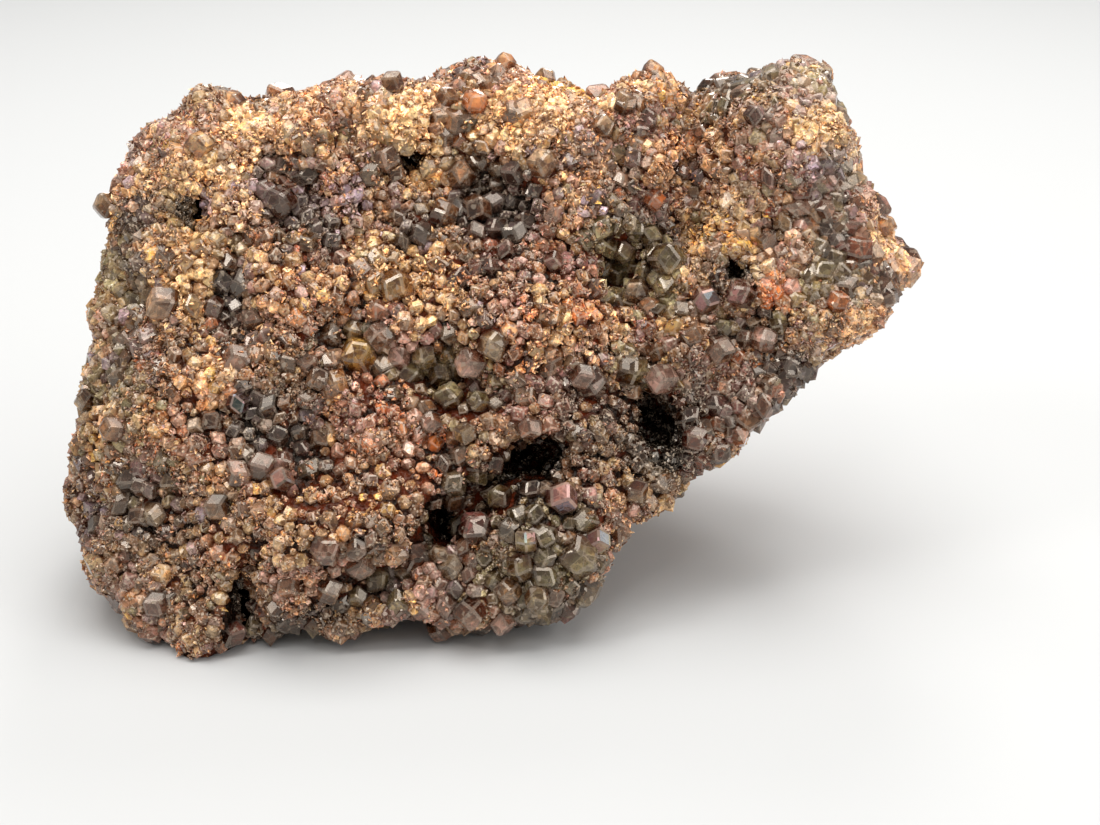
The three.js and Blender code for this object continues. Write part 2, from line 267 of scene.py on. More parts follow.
def surface_point(direction):
    """The block's surface in a direction from its middle, in millimetres. The direction is divided by
    the sum of its parts' high powers, to the power's root, which puts it on a rounded box. Across that
    box the point runs between the curves, and then lumps, shelf, hollows, pits and feet move it."""
    out = direction / (np.abs(direction) ** CORNER_POWER).sum(1, keepdims=True) ** (1 / CORNER_POWER)
    end = out[:, 0]
    place = end * np.where(end < 0, LEFT_LENGTH, RIGHT_LENGTH)
    depth = (out[:, 1] + 1) / 2
    height = (out[:, 2] + 1) / 2
    front = along(place, FRONT_FOOT_Y) * (1 - height) + along(place, FRONT_CREST_Y) * height
    back = along(place, BACK_FOOT_Y) * (1 - height) + along(place, BACK_CREST_Y) * height
    top = along(place, CREST_Z) - BACK_DROP * depth
    lean = np.where(end < 0, LEFT_LEAN, RIGHT_LEAN)
    point = np.stack([
        place + lean * end ** 2 * height,
        front * (1 - depth) + back * depth,
        along(place, SOLE_Z) * (1 - height) + top * height,
    ], axis=1)
    facing = out / np.linalg.norm(out, axis=1, keepdims=True)
    on_front = smooth_step(-(facing @ INTO_VIEW), *FRONT_FADE)
    on_sole = smooth_step(-facing[:, 2], *SOLE_FADE)
    across, up = point[:, 0], point @ UP_VIEW
    inwards = on_front * (set_back(across, up) + pit_depth(across, up))
    lumps = sum(height * lattice_noise(point / spacing + LUMP_START) for spacing, height in LUMPS)
    point = point + facing * lumps[:, None] + inwards[:, None] * INTO_VIEW
    for at, radius, drop in FEET:
        away = np.hypot(point[:, 0] - at[0], point[:, 1] - at[1]) / radius
        point[:, 2] -= on_sole * drop * np.exp(-(away ** 4))
    return point - facing * SKIN


# %% [markdown]
# ## The rock as a mesh
# A ball would crowd its points at two poles. The six sides of a box carry a square grid each, evenly
# spread, and the sides that meet share their points, so the mesh is closed. One such grid with
# squares of half a millimetre gives the places where crystals can sit. The rock's own mesh has squares
# nearly twice as wide, as crystals hide nearly all of it.

# %% A grid over the six sides of a box
SEAT_GRID = np.array([176, 98, 104])
ROCK_GRID = np.array([96, 54, 56])
SQUARE = 0.47
LEFT_SIDE, RIGHT_SIDE, FRONT_SIDE, BACK_SIDE, UNDERSIDE, TOP_SIDE = range(6)


def box_grid(counts):
    """Grid points all over a box. A point is three whole numbers from 0 to the counts, with at least
    one at its end; its direction is those numbers, scaled to run from -1 to 1. Returns directions,
    squares, and for each square its side, its row and its column there. The sides are numbered: left
    and right end, front and back, underside and top."""
    places, sides = [], []
    for axis in range(3):
        b, c = (axis + 1) % 3, (axis + 2) % 3
        for end in (0, 1):
            rows, columns = np.meshgrid(np.arange(counts[b]), np.arange(counts[c]), indexing="ij")
            rows, columns = rows.ravel(), columns.ravel()
            round_square = [(0, 0), (1, 0), (1, 1), (0, 1)]
            corners = np.zeros((len(rows), 4, 3), int)
            for n, (step_b, step_c) in enumerate(round_square if end else round_square[::-1]):
                corners[:, n, axis] = end * counts[axis]
                corners[:, n, b] = rows + step_b
                corners[:, n, c] = columns + step_c
            places.append(corners)
            sides.append(np.stack([np.full(len(rows), 2 * axis + end), rows, columns], axis=1))
    flat, squares = np.unique(np.concatenate(places).reshape(-1, 3), axis=0, return_inverse=True)
    return 2 * flat / counts - 1, squares.reshape(-1, 4), np.concatenate(sides)


seat_directions, seat_squares, sides = box_grid(SEAT_GRID)
seat_points = surface_point(seat_directions)
print(len(seat_squares), "squares to sit on")


# %% From arrays to a mesh
def mesh_object(name, points, faces, tints, point_values=None, face_values=None):
    """A mesh object with flat faces, from an array of points in block millimetres and an array of
    faces, each row one face. It carries a tint for each point, and named values for its points and
    for its faces."""
    mesh = bpy.data.meshes.new(name)
    count, corners_each = faces.shape
    mesh.vertices.add(len(points))
    mesh.vertices.foreach_set("co", ((points - BOX_MIDDLE) * MM).astype(np.float32).ravel())
    mesh.loops.add(faces.size)
    mesh.loops.foreach_set("vertex_index", faces.astype(np.int32).ravel())
    mesh.polygons.add(count)
    mesh.polygons.foreach_set("loop_start", np.arange(0, faces.size, corners_each, dtype=np.int32))
    mesh.update(calc_edges=True)
    mesh.shade_flat()
    for domain, values in (("POINT", point_values), ("FACE", face_values)):
        for key, value in (values or {}).items():
            mesh.attributes.new(key, "FLOAT", domain).data.foreach_set("value", value.astype(np.float32))
    with_alpha = np.concatenate([tints, np.ones((len(tints), 1))], axis=1).astype(np.float32)
    mesh.attributes.new("tint", "FLOAT_COLOR", "POINT").data.foreach_set("color", with_alpha.ravel())
    made = bpy.data.objects.new(name, mesh)
    bpy.context.scene.collection.objects.link(made)
    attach(made, "root")
    print(f"{name}: {count * (corners_each - 2)} triangles")
    return made


# %% [markdown]
# ## Where crystals can sit
# Each square's middle is a seat, with the way the rock faces there. Two things about a seat decide
# what grows on it: how sheltered it is, because the hollows of the real stone hold larger and smoother
# crystals and no sugar, and which colours are common around it.

# %% Seats
corners = seat_points[seat_squares]
seats = corners.mean(axis=1)
seat_facing = np.cross(corners[:, 2] - corners[:, 0], corners[:, 3] - corners[:, 1])
seat_area = np.linalg.norm(seat_facing, axis=1) / 2
seat_facing /= np.linalg.norm(seat_facing, axis=1, keepdims=True)
seat_on_front = seen(seat_facing)
print("surface of the rock:", round(seat_area.sum() / 100, 1), "cm2")


# %% Where it is sheltered
WARP_REACH, WARPS = 2.4, [(4.0, 9.3, 1.0), (1.7, 4.1, 0.6)]  # spacing, step to the next noise, share
DIP = 1.5  # this far under the mean counts as lowest, and this far over it as highest
SHELTERED = [  # at, half size
    ((12.0, 27.0), (3.4, 4.2)), ((5.5, 1.5), (5.0, 5.5)), ((-4.0, 16.5), (5.2, 3.2)), ((0, 6), (4.5, 3)),
    ((-12.3, 19.8), (2.6, 3.2)), ((26.0, 17.0), (3.6, 2.4)), ((0.5, 32.0), (3.4, 2.4)),
    ((13.5, 17.2), (2.6, 1.6)), ((-5.5, -1), (2.4, 4.5)), ((16.5, 10.5), (3.0, 2.0)),
    ((-17.5, 32.5), (3.2, 3.8)), ((-24, 22), (3.2, 2.4)), ((-19.5, 11), (3.0, 5.0)),
]
ELSEWHERE_SPACING, ELSEWHERE_FADE = 8.0, (0.15, 0.45)
SPOT_SPACING, SPOT_NOISE, SPOT_FADE = 3.6, 0.5, (0.1, 0.7)


def warped(points):
    """The points moved by slow noise, so that a round patch worked out on them gets a ragged outline."""
    drift = [
        sum(share * lattice_noise(points / spacing + step * n) for spacing, step, share in WARPS)
        for n in range(3)
    ]
    return points + WARP_REACH * np.stack(drift, axis=1)


def patch(points, at, size):
    """How far a place belongs to a patch of the front: 1 in its middle, falling like a bell."""
    x = (points[:, 0] - at[0]) / size[0]
    z = (points @ UP_VIEW - at[1]) / size[1]
    return np.exp(-((x ** 2 + z ** 2) ** 1.5))


def lowness(points):
    """How low a place lies among the small lumps, from -1 on a crest to 1 in a dip: the same noise that
    lays them, turned over."""
    small = sum(height * lattice_noise(points / spacing + LUMP_START) for spacing, height in LUMPS[1:])
    return np.clip(-small / DIP, -1, 1)


def shelter(points, on_front):
    """How sheltered a place is, from 0 to 1: the named hollows on the front, elsewhere wherever a slow
    noise is high, and small spots all over."""
    ragged = warped(points)
    named = sum(patch(ragged, at, size) for at, size in SHELTERED)
    elsewhere = smooth_step(lattice_noise(points / ELSEWHERE_SPACING + 11.7), *ELSEWHERE_FADE)
    spots = lowness(points) + SPOT_NOISE * lattice_noise(points / SPOT_SPACING + 7.9)
    scattered = smooth_step(spots, *SPOT_FADE)
    return np.clip(named * on_front + elsewhere * (1 - on_front) + scattered, 0, 1)


seat_shelter = shelter(seats, seat_on_front)
print("share of the seats that is sheltered:", round(float(seat_shelter.mean()), 3))

# %% [markdown]
# ## Which colour a crystal has
# A crystal's colour is a blend of eleven, and which of them weighs most is decided by how common it is
# there: patches of the front favour some colours, noise of two sizes favours some in clusters a few
# crystals wide, hollows and dips favour the dark ones, and last comes a lot that is drawn for the
# crystal alone. Then painted shade darkens the tints in the pits, in the recesses under the shelf and
# in other listed patches, and a little over the lower part.

# %% Colours and where they are common
COLOURS = {  # sRGB, 0 to 255
    "sand": (208, 168, 113), "apricot": (206, 152, 100), "orange": (192, 104, 48), "rust": (116, 48, 24),
    "brown": (124, 84, 54), "plum": (118, 78, 70), "rose": (174, 131, 112), "olive": (129, 113, 76),
    "slate": (68, 55, 50), "gold": (208, 160, 70), "lilac": (134, 113, 117),
}
COMMON = {  # how common everywhere
    "sand": 0.35, "apricot": 0.2, "orange": -0.3, "rust": 0.0, "brown": 0.9, "plum": 0.7, "rose": 0.5,
    "olive": 0.4, "slate": 0.3, "gold": -0.2, "lilac": 0.2,
}
PATCHES = {  # across, up, half width, half height, how much more common
    "sand": [
        (-26.5, 27, 5, 3.6, 2.2), (-24, 33, 4, 3, 1.4), (-6, 35, 4, 3, 1.3), (-6, 44, 6, 2, 1.2),
        (34, 31, 3, 4, 1.8), (3, 26, 4, 2.6, 0.9), (-15, 8, 3, 2.4, 1.4), (-29, 24, 4, 4, 1.0),
        (-24, 37, 9, 5, 1.4), (-9, 28, 7, 5, 1.4), (1, 40.5, 13, 4, 1.4), (22, 33, 5, 6, 1.6),
        (9.5, 34, 4, 5, 1.4), (-14, 5, 6, 4, 0.8), (31.4, 38.9, 3.6, 4, 2.4),
        (-7.4, 38.8, 4.6, 3.4, 2.6), (-24.5, 38.9, 4.4, 3, 1.4), (-7.2, 25.6, 3.8, 3, 1.6),
    ],
    "apricot": [
        (16.5, 37, 3.4, 4, 1.8), (0, 41, 16, 4, 1.2), (-18, 42, 14, 3, 1.0),
    ],
    "olive": [
        (-35, 22, 4, 14, 1.6), (12, 27, 3.8, 4.6, 3.4), (-4.5, 16.5, 5.4, 3.2, 3.0),
        (4.5, 2.5, 5.4, 4.6, 2.8), (13, 17.4, 2.4, 1.6, 2.6), (-12.4, 18.6, 2.0, 2.4, 2.0),
        (-13, 30, 6, 4, 0.8),
    ],
    "rose": [
        (-12, 1, 7, 4, 1.2), (10, 43, 2.4, 2, 2.4), (-10, 20.5, 3, 2.2, 1.6), (34, 34, 3, 5, 1.4),
    ],
    "gold": [
        (7.6, 44, 3.2, 1.6, 4.2), (-28, 39, 3, 2, 1.5), (-10, 26, 4, 3, 1.6), (22, 31, 3, 3, 1.6),
    ],
    "orange": [
        (27, 25, 2.2, 2.0, 3.2), (8, 21.5, 2.6, 2.2, 2.6), (-5.5, 10.5, 2.4, 2.6, 2.0),
        (-14, 42.5, 3, 2, 1.6), (-32, 25, 1.6, 2, 1.2), (22.4, 16.4, 4, 4, 1.4),
    ],
    "rust": [
        (1, 3.6, 2.2, 2.0, 2.4), (10, 8, 2.4, 2.4, 2.0), (17.5, 9.5, 2.6, 2.0, 2.0),
        (-18, -4, 6, 2, 1.4), (-20, 0, 3, 3, 1.0), (8, 11.5, 4, 3, 1.6), (15.5, 12, 4, 5, 1.8),
        (14.6, 19, 4, 3, 1.2),
    ],
    "slate": [
        (-17.5, 32.5, 3.6, 4.2, 2.4), (-24, 22, 4.2, 3.4, 2.2), (-31, 31, 2.0, 4, 1.4),
        (-19.5, 12.5, 3.4, 4, 2.4), (-29.5, 1, 4, 6, 1.4), (-17, -3.6, 6, 1.6, 2.6),
        (1.5, 32.5, 4, 3.4, 2.0), (26, 17.5, 4.2, 3, 2.4), (22.5, 23, 3, 2, 1.6), (-34, 30, 3, 9, 1.4),
    ],
    "plum": [
        (-8, 22.5, 4, 2.4, 1.6), (14, 39.5, 3.6, 3.2, 1.8), (2, 14.5, 5.4, 3, 1.8),
        (7.5, 13.5, 3, 3, 1.2), (19, 15, 4, 3.4, 1.4), (-27, 8, 5, 5, 1.0), (28, 38, 4, 5, 1.0),
        (15.9, 31.4, 3.2, 3, 1.4),
    ],
    "brown": [
        (-31, 18, 4, 3, 1.0),
    ],
    "lilac": [
        (-20, 32.5, 8.5, 4, 1.4), (11.5, 38, 8, 3.2, 1.6), (31, 36, 4, 5, 1.2), (-36, 38, 4, 6, 1.2),
        (-22, 25, 4, 3, 1.0),
    ],
}
CLUSTERS = [(6.0, 1.0), (2.3, 1.0)]  # spacing of the noise, how much it counts
SETTLED = [  # colour, how much more common where sheltered, how much more common in dips than on crests
    ("olive", 1.2, 0.2), ("slate", 0.7, 0.8), ("plum", 0.3, 0.5), ("brown", 0.2, 0.4), ("sand", -1.8, -0.9),
    ("apricot", -1.4, -0.6), ("gold", -0.8, -0.4),
]
MOST_PAINTED_SHADE, SHADE_BY_PIT_DEPTH = 0.9, 0.45  # painted shade in the deep pits: at most, and for each millimetre of their depth
OWN_LOT, DECIDED, PATCH_WEIGHT = 0.8, 2.2, 1.1
PAINTED_SHADE = [  # painted shade, most under the shelf and round the pits, and one broad patch over the lower part: at, half size, how much darker
    ((15.8, 11.2), (5.2, 5.6), 0.88), ((8.0, 12.0), (4.6, 3.8), 0.6), ((3, 8.4), (4.6, 2.4), 0.6),
    ((4, 2.5), (7.0, 5.5), 0.45), ((-4.8, 3.2), (2.0, 3.0), 0.5), ((21.5, 26.2), (3.0, 2.2), 0.5),
    ((-16, 3.4), (6.5, 2.2), 0.35), ((-15, -5.5), (8.0, 1.8), 0.5), ((-33, 3.4), (2.6, 3.4), 0.4),
    ((-18, 14.5), (4.4, 4.0), 0.35), ((-39, 2), (7.0, 9.0), 0.45), ((-16, 18.4), (4.0, 4.0), 0.4),
    ((-22.5, -3), (1.6, 3.4), 0.25), ((-28, 32), (1.6, 2.4), 0.5), ((15.8, 31.6), (4.0, 4.0), 0.5),
    ((22.2, 45), (5.0, 4.0), 0.7), ((-24.5, 45), (6.0, 3.0), 0.5), ((-31.5, 17.4), (5.0, 4.0), 0.4),
    ((-22.8, 24.6), (4.4, 3.0), 0.25), ((0.8, 25.4), (4.4, 3.0), 0.25), ((22.4, 20.6), (6.0, 6.0), 0.25),
    ((-6, -4), (40.0, 14.0), 0.2),
]


def linear(srgb):
    """An sRGB colour, 0 to 255, as the linear one that light adds up in."""
    c = np.asarray(srgb, float) / 255
    return np.where(c < 0.04045, c / 12.92, ((c + 0.055) / 1.055) ** 2.4)


PALETTE = linear(list(COLOURS.values()))


def crystal_tints(points, on_front, sheltered, luck):
    """Each crystal's tint. A colour's score is how common it is there plus the crystal's own lot; its
    weight in the blend is e to the power of the score times how decided the blend is. Then painted shade
    darkens the blend in the pits and in the listed patches."""
    names = list(COLOURS)
    score = np.tile([COMMON[name] for name in names], (len(points), 1)).astype(float)
    ragged = warped(points)
    for name, rows in PATCHES.items():
        for across, up, half_width, half_height, more in rows:
            here = patch(ragged, (across, up), (half_width, half_height)) * on_front
            score[:, names.index(name)] += PATCH_WEIGHT * more * here
    for n in range(len(names)):
        for spacing, weight in CLUSTERS:
            score[:, n] += weight * lattice_noise(points / spacing + 5.3 * n + spacing)
    low = lowness(points)
    for name, when_sheltered, when_low in SETTLED:
        score[:, names.index(name)] += when_sheltered * sheltered + when_low * low
    score += OWN_LOT * luck.normal(size=score.shape)
    weight = np.exp(DECIDED * (score - score.max(axis=1, keepdims=True)))
    clean = weight @ PALETTE / weight.sum(axis=1, keepdims=True)
    # Painted shade: darker with the depth of a pit, and in the listed patches.
    deep = pit_depth(points[:, 0], points @ UP_VIEW) * (on_front > 0)
    bright = 1 - np.minimum(MOST_PAINTED_SHADE, SHADE_BY_PIT_DEPTH * deep)
    for at, size, darker in PAINTED_SHADE:
        bright = bright * (1 - darker * patch(ragged, at, size) * on_front)
    return clean * bright[:, None]


# %% [markdown]
# ## The crust under the crystals
# Between crystals the rock shows, and there it is a crust of crystals too small to tell apart. Moving
# each point of the grid in or out by lot, and keeping the faces flat, gives just that.

# %% The rock
ROUGH = 0.22  # millimetres in or out
luck = np.random.default_rng(5)
rock_directions, rock_squares, _ = box_grid(ROCK_GRID)
rock_points = surface_point(rock_directions)
away = rock_directions / np.linalg.norm(rock_directions, axis=1, keepdims=True)
crust_points = rock_points + away * (ROUGH * (2 * luck.random((len(away), 1)) - 1))
crust_points[:, 2] = np.maximum(crust_points[:, 2], 0)
point_on_front = seen(away)
rock_tints = crystal_tints(rock_points, point_on_front, shelter(rock_points, point_on_front), luck)
rock = mesh_object("rock", crust_points, rock_squares, rock_tints)
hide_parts("garnet_cluster")

# %% [markdown]
# ## The crystals' shapes
# Garnet grows as a rhombic dodecahedron: twelve equal rhombs. Its corners are those of a cube and the
# tips of an octahedron, which reach out twice as far as the cube's sides. The sugary grains are too
# small to count the faces of, and eight will do.

# %% Shapes about the origin, of radius 1
TIPS = np.array([(-1, 0, 0), (1, 0, 0), (0, -1, 0), (0, 1, 0), (0, 0, -1), (0, 0, 1)], float)
SPLINTER = np.array([0.6, 0.85, 1.5])
FACE_KEEPS = 0.76  # the share of its size that a face keeps when its edges are cut


def facing_out(points, faces):
    """The same faces, each turned so that it faces away from the middle."""
    middles = points[faces].mean(axis=1)
    ways = np.cross(points[faces[:, 1]] - points[faces[:, 0]], points[faces[:, 2]] - points[faces[:, 0]])
    inwards = (ways * middles).sum(axis=1) < 0
    return np.where(inwards[:, None], faces[:, ::-1], faces)


def dodecahedron():
    """The cube's eight corners and the octahedron's six tips, and a rhomb over each of the cube's
    twelve edges: its two ends and the tips of the two sides that meet there."""
    cube = np.array([(x, y, z) for x in (-1, 1) for y in (-1, 1) for z in (-1, 1)]) / 2
    rhombs = []
    for a in range(8):
        for b in range(a + 1, 8):
            apart = np.abs(cube[a] - cube[b]) > 0.5
            if apart.sum() == 1:
                near = [8 + 2 * n + int(cube[a][n] > 0) for n in range(3) if not apart[n]]
                rhombs.append((a, near[0], b, near[1]))
    points = np.concatenate([cube, TIPS])
    return points, facing_out(points, np.array(rhombs)), np.arange(len(rhombs)), np.zeros(len(rhombs))


def convex(points, ways):
    """The convex shape on these points whose facets lie square to these ways: whatever points reach
    furthest one way make a facet, taken in order round it and split into triangles. Like the other
    shapes, it comes as points, faces, the number of each face's facet, and whether it is a cut edge."""
    triangles, facets = [], []
    for number, way in enumerate(ways):
        way = way / np.linalg.norm(way)
        reach = points @ way
        ring = np.flatnonzero(reach > reach.max() - 1e-6)
        spokes = points[ring] - points[ring].mean(axis=0)
        ring = ring[np.argsort(np.arctan2(spokes @ np.cross(way, spokes[0]), spokes @ spokes[0]))]
        triangles += [(ring[0], ring[n], ring[n + 1]) for n in range(1, len(ring) - 1)]
        facets += [number] * (len(ring) - 2)
    return points, facing_out(points, np.array(triangles)), np.array(facets), np.zeros(len(facets))


def with_cut_edges(shape, keep):
    """The shape with its edges and corners cut. Each face shrinks about its middle to a share of its
    size, and the shrunken corners together are a new convex shape. Its faces lie square to the old
    faces, to the old corners, and to the sums of two old faces that share an edge."""
    points, faces = shape[:2]
    middles = points[faces].mean(axis=1)
    shrunk = (middles[:, None] + (points[faces] - middles[:, None]) * keep).reshape(-1, 3)
    between = [middles[f] + middles[g] for f in range(len(faces)) for g in range(f)
               if len(set(faces[f]) & set(faces[g])) == 2]
    points, triangles, facets, _ = convex(shrunk, [*middles, *points, *between])
    return points, triangles, facets, (facets >= len(faces)).astype(float)


def trapezohedron():
    """Garnet's other form, with 24 kites. Its corners are the six tips, twelve over the edges of a
    cube and eight over its corners, each kind a little nearer to the middle than the last."""
    steps = np.array([(x, y, z) for x in (-1, 0, 1) for y in (-1, 0, 1) for z in (-1, 0, 1)], float)
    kind = np.abs(steps).sum(axis=1)
    points = np.concatenate([steps[kind == 1], steps[kind == 2] * 2 / 3, steps[kind == 3] / 2])
    ways = [corner * way for corner in steps[kind == 3] for way in ((2, 1, 1), (1, 2, 1), (1, 1, 2))]
    return convex(points, ways)


def octahedron():
    """Six tips, and a triangle for each of the eight corners of space."""
    faces = np.array([(x, 2 + y, 4 + z) for x in (0, 1) for y in (0, 1) for z in (0, 1)])
    return TIPS, facing_out(TIPS, faces), np.arange(len(faces)), np.zeros(len(faces))


def splinter():
    """The octahedron drawn out, so that a grain shows its length from some sides."""
    points, *rest = octahedron()
    return points * SPLINTER, *rest


SMOOTH_GARNET = with_cut_edges(dodecahedron(), FACE_KEEPS)
GARNET_OF_KITES = trapezohedron()
PLAIN_GARNET = dodecahedron()
for label, shape in (("cut edges", SMOOTH_GARNET), ("kites", GARNET_OF_KITES), ("rhombs", PLAIN_GARNET)):
    print(f"a garnet with {label}:", len(shape[0]), "points and", len(shape[1]), "faces")


def turned(count, luck):
    """A turn for each crystal: a random point on the four-dimensional ball, read as a quaternion."""
    q = luck.normal(size=(count, 4))
    w, x, y, z = (q / np.linalg.norm(q, axis=1, keepdims=True)).T
    return np.stack([
        np.stack([1 - 2 * (y * y + z * z), 2 * (x * y - z * w), 2 * (x * z + y * w)], axis=1),
        np.stack([2 * (x * y + z * w), 1 - 2 * (x * x + z * z), 2 * (y * z - x * w)], axis=1),
        np.stack([2 * (x * z - y * w), 2 * (y * z + x * w), 1 - 2 * (x * x + y * y)], axis=1),
    ], axis=1)


# %% Growing crystals on seats
GROUND_ROOM = 0.9  # a crystal's middle stays this far over the ground, in radii
ROOT, TIP = -0.4, 0.9  # how far out its root ends and its tip begins, in radii


def grow(name, shape, where, outward, radius, tints, turns, luck, uneven):
    """One mesh of many crystals: the shape's points, each crystal's own a little longer or shorter in
    three ways, times its radius, turned, and moved to its place. A crystal that would reach under the
    ground is left out. Each point carries its crystal's tint, a lightness drawn by lot, and how far up
    the crystal it is. Each face carries a lot drawn for its facet, and whether it is a cut edge."""
    points, faces, facets, cuts = shape
    kept = where[:, 2] > GROUND_ROOM * radius
    where, outward, radius, tints, turns = (v[kept] for v in (where, outward, radius, tints, turns))
    count = len(where)
    stretch = 1 + uneven * (2 * luck.random((count, 1, 3)) - 1)
    local = np.einsum("nij,npj->npi", turns, points[None] * stretch) * radius[:, None, None]
    every_face = faces[None] + (np.arange(count) * len(points))[:, None, None]
    rise = np.einsum("npi,ni->np", local, outward) / radius[:, None]
    point_values = {
        "lightness": np.repeat(luck.random(count), len(points)),
        "rise": np.clip((rise.ravel() - ROOT) / (TIP - ROOT), 0, 1),
    }
    face_values = {
        "facet": luck.random((count, facets.max() + 1))[:, facets].ravel(),
        "cut": np.tile(cuts, count),
    }
    placed = (where[:, None] + local).reshape(-1, 3)
    placed[:, 2] = np.maximum(placed[:, 2], 0)
    every_face = every_face.reshape(-1, faces.shape[1])
    return mesh_object(
        name, placed, every_face, np.repeat(tints, len(points), axis=0), point_values, face_values)


# %% [markdown]
# ## Largest crystals
# The crystals of two to nearly four millimetres here are those that the solid has too, at the same
# places: a list for the front, read off as seen, and others spread over the whole stone. A few of those
# on the front shine green or violet like oil on water, so they are a piece of their own, with a thin
# film on its faces.

# %% The listed crystals
FRONT_CRYSTALS = [  # across, up, width, colour
    (-12, 18.5, 3.2, "gold"), (-12.5, 21.3, 2, "olive"), (-10, 20.8, 2.4, "rose"),
    (-6.5, 19, 2.2, "olive"), (-1.5, 18.5, 3, "rose"), (-5, 17, 2.2, "olive"), (-4, 14.5, 2.6, "olive"),
    (-1, 14.5, 2, "olive"), (-2, 12, 2, "olive"), (8, 17, 2.4, "rose"), (3.5, 12.4, 2.2, "plum"),
    (6.2, 6, 2.8, "plum"), (7.5, 1, 3.6, "olive"), (9, 2.2, 2.2, "olive"), (3.5, 2.5, 2, "olive"),
    (3, 0, 2.4, "olive"), (1.5, -2, 2.4, "brown"), (-1, 3, 3, "rust"), (-3.5, 5.4, 2.2, "brown"),
    (1, 6, 2.2, "olive"), (-4.5, -5.5, 2.4, "brown"), (0.5, -4.5, 2.4, "rose"), (4, -2.5, 2.2, "olive"),
    (-6.4, 0.5, 2.8, "rose"), (12.5, 17.5, 2.8, "olive"), (15.3, 16.6, 3, "rose"),
    (11, 26.5, 2.4, "olive"), (13.5, 24.5, 2.2, "olive"), (12, 29, 2.2, "olive"),
    (22.7, 24.6, 2.6, "plum"), (19.5, 24, 2.4, "plum"), (24.5, 20.5, 2.4, "rose"),
    (27.5, 18, 2, "slate"), (31, 23.5, 2, "orange"), (33, 28, 2.8, "rust"), (-2, 42, 2.4, "orange"),
    (-4.5, 42.5, 2.2, "brown"), (-1.5, 32, 2.6, "brown"), (10, 43, 3.2, "rose"),
    (12.2, 41.5, 2, "brown"), (-5, 31.5, 2.6, "brown"), (4.5, 36, 2.8, "sand"),
    (14.5, 33.5, 2, "orange"), (-22.5, 14.5, 2, "slate"), (-34, 12, 2.4, "brown"),
    (-30, -3.5, 2.4, "slate"), (-18.5, 7.5, 2.2, "slate"), (-14.5, 2, 2.6, "rose"),
    (18, 11.5, 2.2, "rust"), (-26.5, 37.5, 2.2, "sand"),
]
IRIDESCENT = [(6.2, 6), (3.5, 2.5), (9, 2.2), (-22.5, 14.5), (-18.5, 7.5), (19.5, 24)]
WIDTH_PER_RADIUS, LARGE_SUNK, OVER_SOLID = 1.6, 0.3, 1.06
SPREAD_COUNT, SPREAD_RADIUS = 82, (1.2, 2.0)
BALL_STRETCH = np.array([0.74, 1.18, 1])  # fewer towards the two ends
LARGE_SHELTER, NAMED_SHARE = 0.3, 0.65


def seats_seen(places):
    """The seat nearest to each [across, up] place, among those that face the view."""
    front = np.flatnonzero(seat_on_front > 0.5)
    as_seen = np.stack([seats[front, 0], seats[front] @ UP_VIEW], axis=1)
    apart = np.linalg.norm(as_seen[None] - np.array(places, float)[:, None], axis=2)
    return front[apart.argmin(axis=1)]


def numbered_turns(numbers):
    """The turn of a crystal by its number: three angles by chance, about x, then y, then z."""
    a, b, c = (chance(numbers, k, 0) * 2 * math.pi for k in (2, 3, 4))
    one, nil = np.ones_like(a), np.zeros_like(a)
    about_x = np.array([[one, nil, nil], [nil, np.cos(a), -np.sin(a)], [nil, np.sin(a), np.cos(a)]])
    about_y = np.array([[np.cos(b), nil, np.sin(b)], [nil, one, nil], [-np.sin(b), nil, np.cos(b)]])
    about_z = np.array([[np.cos(c), -np.sin(c), nil], [np.sin(c), np.cos(c), nil], [nil, nil, one]])
    return np.einsum("ijn,jkn,kln->nil", about_x, about_y, about_z)


def largest_crystals():
    """The listed crystals of the front, then the others at even steps of a spiral round the block.
    Returns the two pieces, and the places and radii of all their crystals."""
    luck = np.random.default_rng(11)
    places = np.array([row[:3] for row in FRONT_CRYSTALS])
    picked = seats_seen(places[:, :2])
    step = np.arange(SPREAD_COUNT)
    height = 1 - (2 * step + 1) / SPREAD_COUNT
    turn = step * math.pi * (3 - math.sqrt(5))
    ring = np.sqrt(1 - height ** 2)
    spiral = np.stack([ring * np.cos(turn), ring * np.sin(turn), height], axis=1) * BALL_STRETCH
    spiral_ways = spiral / np.linalg.norm(spiral, axis=1, keepdims=True)
    outward = np.concatenate([seat_facing[picked], spiral_ways])
    where = np.concatenate([seats[picked], surface_point(spiral)]) + outward * SKIN
    numbers = np.arange(len(where)).astype(float)
    low, high = SPREAD_RADIUS
    spread = low + (high - low) * chance(numbers[len(places):], 1, 0) ** 2
    radius = np.concatenate([places[:, 2] / WIDTH_PER_RADIUS, spread])
    where = where - outward * (LARGE_SUNK * radius)[:, None]
    tints = crystal_tints(where, seen(outward), np.full(len(where), LARGE_SHELTER), luck)
    named = linear([COLOURS[row[3]] for row in FRONT_CRYSTALS])
    tints[:len(places)] = NAMED_SHARE * named + (1 - NAMED_SHARE) * tints[:len(places)]
    turns = numbered_turns(numbers)
    flashing = np.isin(numbers, [n for n, row in enumerate(FRONT_CRYSTALS) if row[:2] in IRIDESCENT])
    parts = (("largest_crystals", ~flashing), ("iridescent_crystals", flashing))
    drawn = OVER_SOLID * radius
    pieces = [
        grow(name, SMOOTH_GARNET, where[m], outward[m], drawn[m], tints[m], turns[m], luck, uneven=0.05)
        for name, m in parts
    ]
    return pieces, where, radius


(largest, iridescent), largest_places, largest_radii = largest_crystals()

# %% [markdown]
# ## A close packing
# Crystals of nearly three millimetres down to half of one grow into one another all over the stone. A
# scatter by chance alone would leave gaps and heaps, and a plain grid would show its rows. So every
# open seat draws a lot, a seat with the highest lot of its neighbourhood gets a crystal, and the seats
# that are still open draw again. The sizes are set out one after the other, from broad to fine.

